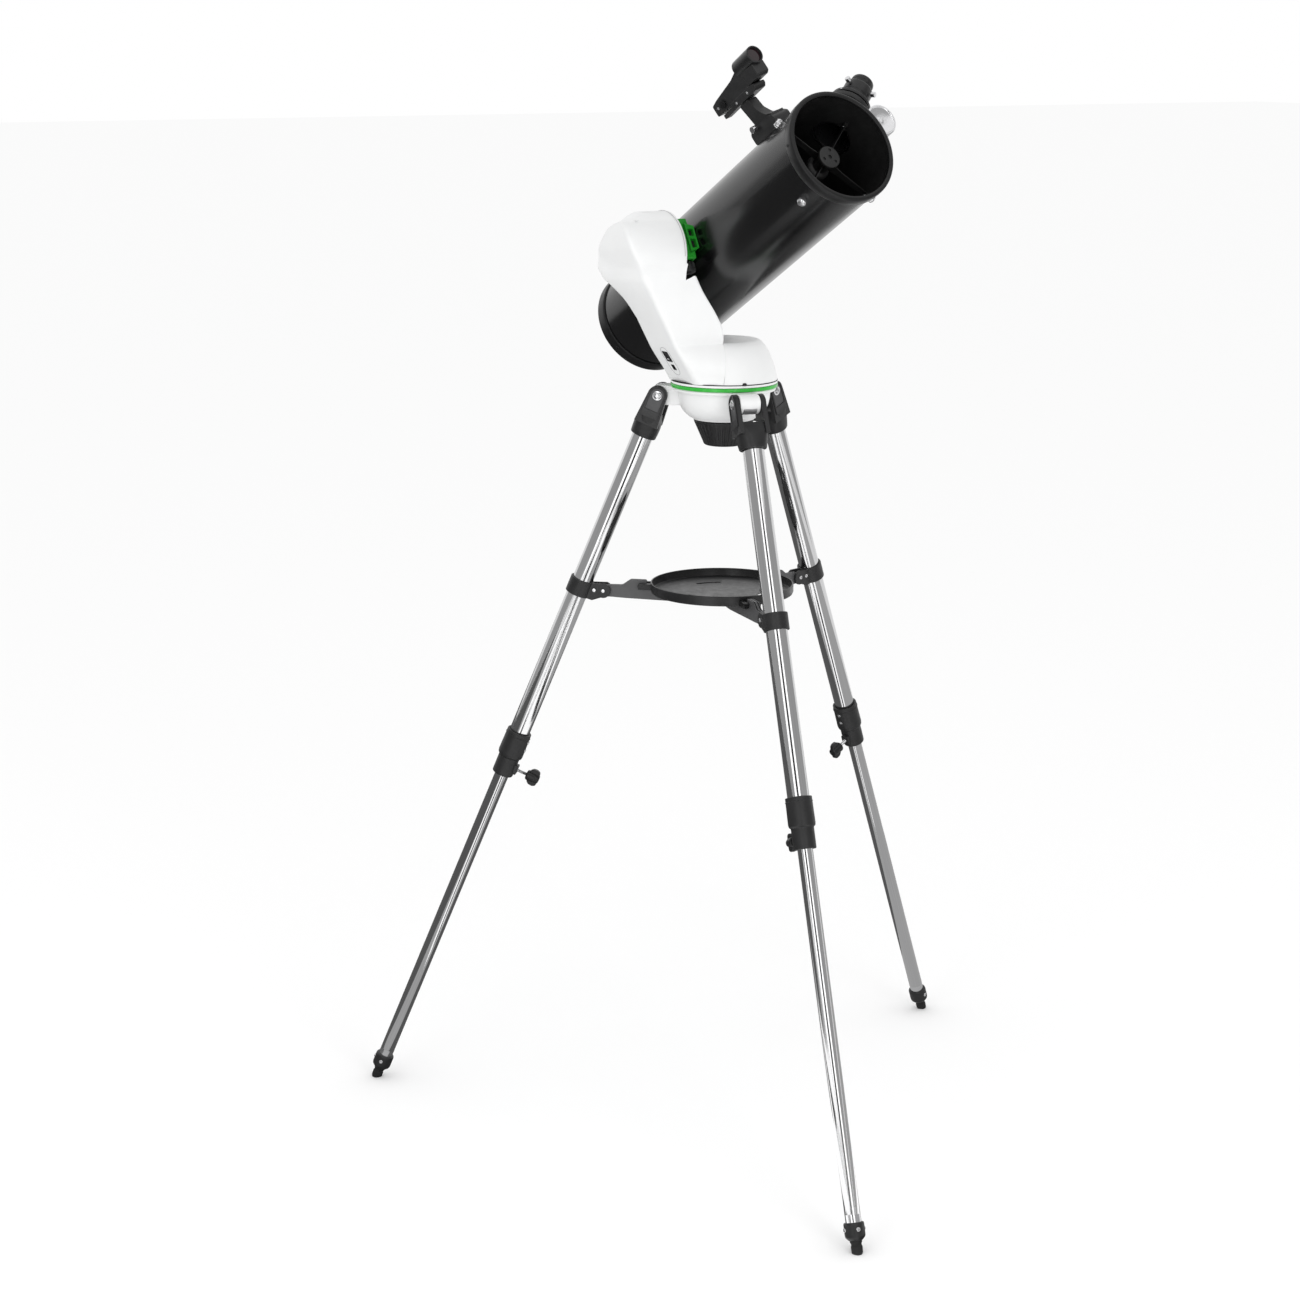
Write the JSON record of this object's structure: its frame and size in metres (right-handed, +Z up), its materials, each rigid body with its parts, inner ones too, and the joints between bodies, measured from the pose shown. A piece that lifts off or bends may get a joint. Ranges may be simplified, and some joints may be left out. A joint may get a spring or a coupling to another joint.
{
  "type": "newtonian reflector telescope",
  "caption": "Newtonian reflector telescope: glossy black tube with focuser and red-dot finder on a motorised side-arm mount and a folding steel tripod with spreader and tray.",
  "frame": {"origin": "centre of the footprint's bounding box, on the ground", "axes": "+Z up; the tube points towards -Y and rises 29.5 degrees; the mount's arm is on the tube's -X side"},
  "size_m": [0.9601, 0.9398, 1.6359],
  "materials": {
    "white_housing": "satin moulded white plastic",
    "green_trim": "satin green plastic",
    "green_metal": "green paint on cast aluminium",
    "black_plastic": "satin moulded black plastic",
    "tray_plastic": "semi-gloss black plastic",
    "foot_rubber": "matt black rubber",
    "steel_tube": "brushed stainless steel",
    "steel_part": "plain machined steel",
    "gear_brass": "machined brass",
    "tube_enamel": "gloss black enamel outside, flat black inside",
    "black_metal": "black anodised aluminium",
    "black_vane": "flat black paint on steel",
    "silver_knob": "bright turned aluminium",
    "mirror_glass": "front-silvered glass",
    "finder_glass": "coated glass"
  },
  "bodies": {
    "tripod_head": {"tripod_head": "white_housing", "accent_ring": "green_trim", "azimuth_gear": "gear_brass"},
    "clamp_knob": {"clamp_knob": "black_plastic"},
    "leg_1": {"leg_yoke_1": "black_plastic", "pivot_bolt_1": "steel_part", "upper_leg_1": "steel_tube", "brace_collar_1": "black_plastic", "leg_clamp_1": "black_plastic"},
    "lower_leg_1": {"lower_leg_1": "steel_tube", "foot_1": "foot_rubber"},
    "wing_screw_1": {"wing_screw_1": "black_plastic"},
    "brace_strut_1": {"brace_strut_1": "black_plastic"},
    "leg_2": {"leg_yoke_2": "black_plastic", "pivot_bolt_2": "steel_part", "upper_leg_2": "steel_tube", "brace_collar_2": "black_plastic", "leg_clamp_2": "black_plastic"},
    "lower_leg_2": {"lower_leg_2": "steel_tube", "foot_2": "foot_rubber"},
    "wing_screw_2": {"wing_screw_2": "black_plastic"},
    "brace_strut_2": {"brace_strut_2": "black_plastic"},
    "leg_3": {"leg_yoke_3": "black_plastic", "pivot_bolt_3": "steel_part", "upper_leg_3": "steel_tube", "brace_collar_3": "black_plastic", "leg_clamp_3": "black_plastic"},
    "lower_leg_3": {"lower_leg_3": "steel_tube", "foot_3": "foot_rubber"},
    "wing_screw_3": {"wing_screw_3": "black_plastic"},
    "brace_strut_3": {"brace_strut_3": "black_plastic"},
    "brace_hub": {"brace_hub": "black_plastic"},
    "accessory_tray": {"accessory_tray": "tray_plastic"},
    "turntable": {"turntable_plate": "white_housing", "base_cover": "white_housing", "arm_housing": "white_housing", "power_socket": "black_plastic", "azimuth_motor": "steel_part", "altitude_motor": "steel_part"},
    "azimuth_pinion": {"azimuth_pinion": "gear_brass"},
    "power_switch": {"power_switch": "black_plastic"},
    "altitude_pinion": {"altitude_pinion": "gear_brass"},
    "telescope_tube": {"saddle_clamp": "green_metal", "altitude_shaft": "steel_part", "altitude_gear": "gear_brass", "dovetail_bar": "green_metal", "optical_tube": "tube_enamel", "front_ring": "black_plastic", "rear_cell": "black_metal", "primary_mirror": "mirror_glass", "spider": "black_vane", "secondary_mirror": "mirror_glass", "focuser_body": "black_metal", "finder_bracket": "black_plastic", "finder_body": "black_plastic", "finder_lens": "finder_glass"},
    "saddle_knob": {"saddle_knob": "black_plastic"},
    "drawtube": {"drawtube": "black_metal"},
    "focus_knobs": {"focus_knobs": "silver_knob"},
    "eyepiece": {"eyepiece": "black_metal"}
  },
  "joints": [
    {"name": "clamp_knob_turn", "type": "hinge", "parent": "tripod_head", "child": "clamp_knob", "pos_m": [-0.06156, 0.08327, 1.07], "axis": [0, 0, 1], "range_deg": [-360, 0]},
    {"name": "leg_fold_1", "type": "hinge", "parent": "tripod_head", "child": "leg_1", "pos_m": [-0.08282, -0.01107, 1.1261], "axis": [0.9755, -0.2198, 0], "range_deg": [0, 7.5]},
    {"name": "leg_slide_1", "type": "slide", "parent": "leg_1", "child": "lower_leg_1", "axis": [-0.0836, -0.3712, -0.9248], "range_m": [-0.48, 0.04]},
    {"name": "wing_screw_turn_1", "type": "hinge", "parent": "leg_1", "child": "wing_screw_1", "pos_m": [-0.12695, -0.20691, 0.51989], "axis": [0.2033, 0.9022, -0.3805], "range_deg": [0, 360]},
    {"name": "leg_fold_2", "type": "hinge", "parent": "tripod_head", "child": "leg_2", "pos_m": [-0.13262, 0.14884, 1.1261], "axis": [-0.6782, -0.7349, 0], "range_deg": [0, 7.5]},
    {"name": "leg_slide_2", "type": "slide", "parent": "leg_2", "child": "lower_leg_2", "axis": [-0.2796, 0.258, -0.9248], "range_m": [-0.48, 0.04]},
    {"name": "wing_screw_turn_2", "type": "hinge", "parent": "leg_2", "child": "wing_screw_2", "pos_m": [-0.28016, 0.28498, 0.51989], "axis": [0.6796, -0.6272, -0.3805], "range_deg": [0, 360]},
    {"name": "leg_fold_3", "type": "hinge", "parent": "tripod_head", "child": "leg_3", "pos_m": [0.03077, 0.11202, 1.1261], "axis": [-0.2974, 0.9548, 0], "range_deg": [0, 7.5]},
    {"name": "leg_slide_3", "type": "slide", "parent": "leg_3", "child": "lower_leg_3", "axis": [0.3633, 0.1131, -0.9248], "range_m": [-0.48, 0.04]},
    {"name": "wing_screw_turn_3", "type": "hinge", "parent": "leg_3", "child": "wing_screw_3", "pos_m": [0.22243, 0.17172, 0.51989], "axis": [-0.883, -0.275, -0.3805], "range_deg": [0, 360]},
    {"name": "hub_lift", "type": "slide", "parent": "tripod_head", "child": "brace_hub", "axis": [0, 0, 1], "range_m": [0, 0.082]},
    {"name": "strut_swing_1", "type": "hinge", "parent": "brace_hub", "child": "brace_strut_1", "pos_m": [-0.06727, 0.0579, 0.823], "axis": [0.9755, -0.2198, 0], "range_deg": [0, 39.5]},
    {"name": "strut_swing_2", "type": "hinge", "parent": "brace_hub", "child": "brace_strut_2", "pos_m": [-0.08067, 0.1009, 0.823], "axis": [-0.6782, -0.7349, 0], "range_deg": [0, 39.5]},
    {"name": "strut_swing_3", "type": "hinge", "parent": "brace_hub", "child": "brace_strut_3", "pos_m": [-0.03673, 0.091, 0.823], "axis": [-0.2974, 0.9548, 0], "range_deg": [0, 39.5]},
    {"name": "tray_lift", "type": "slide", "parent": "brace_hub", "child": "accessory_tray", "axis": [0, 0, 1], "range_m": [0, 0.018]},
    {"name": "power_switch_rock", "type": "hinge", "parent": "turntable", "child": "power_switch", "pos_m": [-0.16112, 0.08327, 1.1905], "axis": [0, 1, 0], "range_deg": [0, 10]},
    {"name": "azimuth", "type": "hinge", "parent": "tripod_head", "child": "turntable", "pos_m": [-0.06156, 0.08327, 1.16], "axis": [0, 0, 1], "continuous": true},
    {"name": "azimuth_pinion_spin", "type": "hinge", "parent": "turntable", "child": "azimuth_pinion", "pos_m": [-0.02126, 0.08327, 1.159], "axis": [0, 0, 1], "continuous": true},
    {"name": "altitude_pinion_spin", "type": "hinge", "parent": "turntable", "child": "altitude_pinion", "pos_m": [-0.18556, 0.08327, 1.2999], "axis": [-1, 0, 0], "range_deg": [-18, 231]},
    {"name": "altitude", "type": "hinge", "parent": "turntable", "child": "telescope_tube", "pos_m": [-0.16156, 0.08327, 1.3412], "axis": [-1, 0, 0], "range_deg": [-39.4, 3]},
    {"name": "saddle_knob_turn", "type": "hinge", "parent": "telescope_tube", "child": "saddle_knob", "pos_m": [-0.15506, 0.03573, 1.32212], "axis": [0, -0.492, -0.8706], "range_deg": [0, 360]},
    {"name": "focus_travel", "type": "slide", "parent": "telescope_tube", "child": "drawtube", "axis": [0.6997, 0.3515, 0.622], "range_m": [-0.004, 0.03]},
    {"name": "focus_knob_turn", "type": "hinge", "parent": "telescope_tube", "child": "focus_knobs", "pos_m": [0.04269, -0.10417, 1.5075], "axis": [0, -0.8706, 0.492], "range_deg": [-180, 26]},
    {"name": "eyepiece_pull", "type": "slide", "parent": "drawtube", "child": "eyepiece", "axis": [0.6997, 0.3515, 0.622], "range_m": [0, 0.045]}
  ],
  "couplings": [
    {"joint": "strut_swing_1", "follows": "leg_fold_1", "ratio": 5.2},
    {"joint": "strut_swing_2", "follows": "leg_fold_1", "ratio": 5.2},
    {"joint": "strut_swing_3", "follows": "leg_fold_1", "ratio": 5.2},
    {"joint": "leg_fold_2", "follows": "leg_fold_1", "ratio": 1},
    {"joint": "leg_fold_3", "follows": "leg_fold_1", "ratio": 1},
    {"joint": "hub_lift", "follows": "leg_fold_1", "m_per_rad": 0.62002},
    {"joint": "azimuth_pinion_spin", "follows": "azimuth", "ratio": 5.6667},
    {"joint": "altitude_pinion_spin", "follows": "altitude", "ratio": -5.8333},
    {"joint": "focus_knob_turn", "follows": "focus_travel", "rad_per_m": -103.09}
  ]
}
